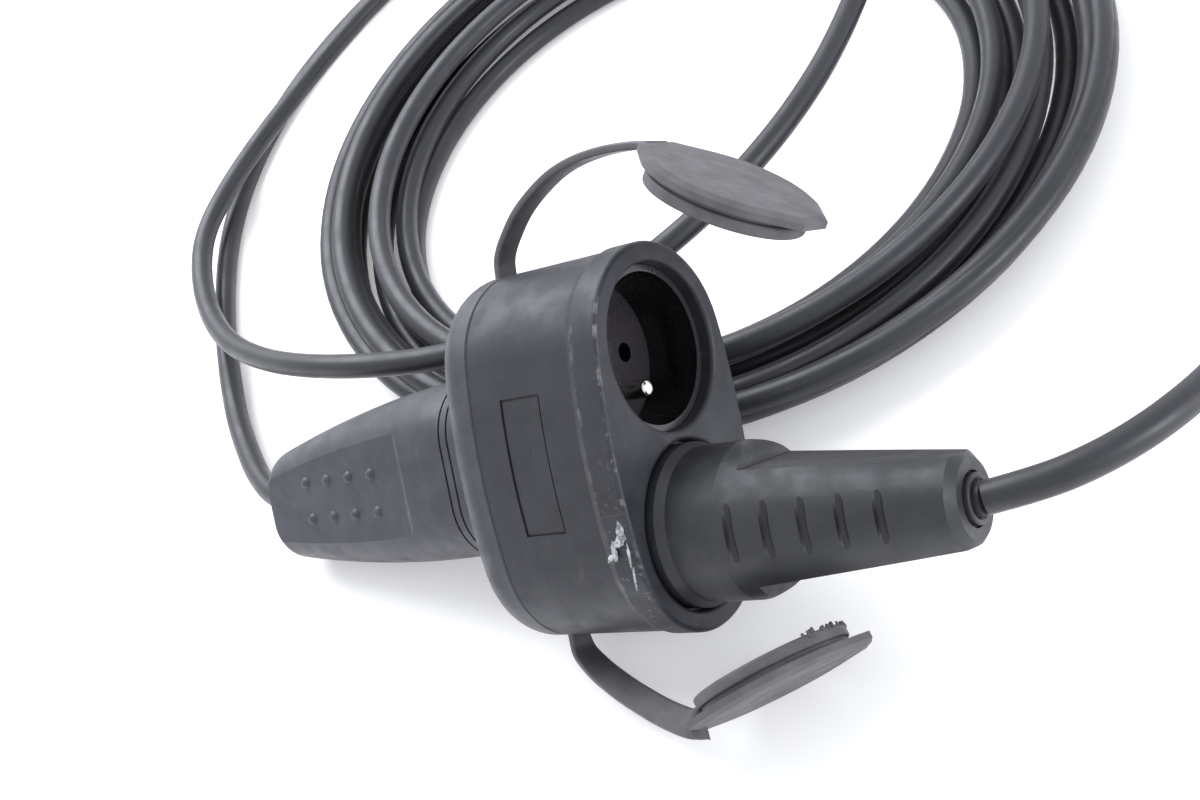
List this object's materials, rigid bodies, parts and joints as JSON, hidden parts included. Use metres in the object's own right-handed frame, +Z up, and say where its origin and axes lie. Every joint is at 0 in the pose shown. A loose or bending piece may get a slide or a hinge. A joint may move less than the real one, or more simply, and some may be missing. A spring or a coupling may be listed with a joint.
{
  "type": "extension lead",
  "caption": "Rubber extension lead: a double trailing socket with tethered caps on a coiled cord, its own plug pushed into the lower socket.",
  "frame": {"origin": "middle of the base of the housing with its handle, caps and straps, measured without the cord, its coil and its plug, on the surface that the lead lies on", "axes": "+X along the handle and housing, the way the sockets face, seen from above; +Y towards the coil; +Z up"},
  "size_m": [0.4243, 0.4086, 0.1175],
  "materials": {
    "housing_rubber": "matte moulded rubber, lightly scuffed",
    "cap_rubber": "matte rubber, dusty and scratched",
    "plug_rubber": "matte moulded rubber",
    "cord_rubber": "soft sheen",
    "insert_plastic": "smooth black",
    "earth_pin_metal": "nickel-plated, bright",
    "contact_brass": "rolled, satin",
    "screw_steel": "zinc-plated",
    "live_insulation": "smooth brown",
    "neutral_insulation": "smooth blue",
    "earth_insulation": "smooth green with a yellow stripe"
  },
  "bodies": {
    "root": {"front_shell": "housing_rubber", "rear_cover": "housing_rubber", "upper_strap": "cap_rubber", "lower_strap": "cap_rubber", "plug_body": "plug_rubber", "plug_gland": "plug_rubber", "cord_coil": "cord_rubber", "cord_handle_run": "cord_rubber", "cord_loose_turn": "cord_rubber", "cord_plug_run": "cord_rubber", "cord_end_in_handle": "cord_rubber", "cord_end_in_plug": "cord_rubber", "upper_socket_insert": "insert_plastic", "lower_socket_insert": "insert_plastic", "contact_carrier": "insert_plastic", "plug_pin_carrier": "insert_plastic", "cord_clamp": "insert_plastic", "upper_earth_pin": "earth_pin_metal", "lower_earth_pin": "earth_pin_metal", "plug_live_pin": "earth_pin_metal", "plug_neutral_pin": "earth_pin_metal", "plug_earth_clips": "earth_pin_metal", "live_contact_strip": "contact_brass", "neutral_contact_strip": "contact_brass", "earth_strip": "contact_brass", "plug_earth_socket": "contact_brass", "carrier_screws": "screw_steel", "terminal_screws": "screw_steel", "clamp_screws": "screw_steel", "live_wire": "live_insulation", "plug_live_wire": "live_insulation", "neutral_wire": "neutral_insulation", "plug_neutral_wire": "neutral_insulation", "earth_wire": "earth_insulation", "plug_earth_wire": "earth_insulation"},
    "upper_cap": {"upper_cap": "cap_rubber"},
    "lower_cap": {"lower_cap": "cap_rubber"}
  },
  "joints": [
    {"name": "upper_cap_hinge", "type": "hinge", "parent": "root", "child": "upper_cap", "pos_m": [0.02803, 0.04535, 0.08954], "axis": [0.1688, 0.6909, -0.703], "range_deg": [-15, 55], "stiffness_Nm_per_rad": 0.1, "deforming": ["upper_strap"]},
    {"name": "lower_cap_hinge", "type": "hinge", "parent": "root", "child": "lower_cap", "pos_m": [0.0127, -0.0322, 0.01], "axis": [0, 0, -1], "range_deg": [0, 25], "stiffness_Nm_per_rad": 0.1, "deforming": ["lower_strap"]}
  ]
}
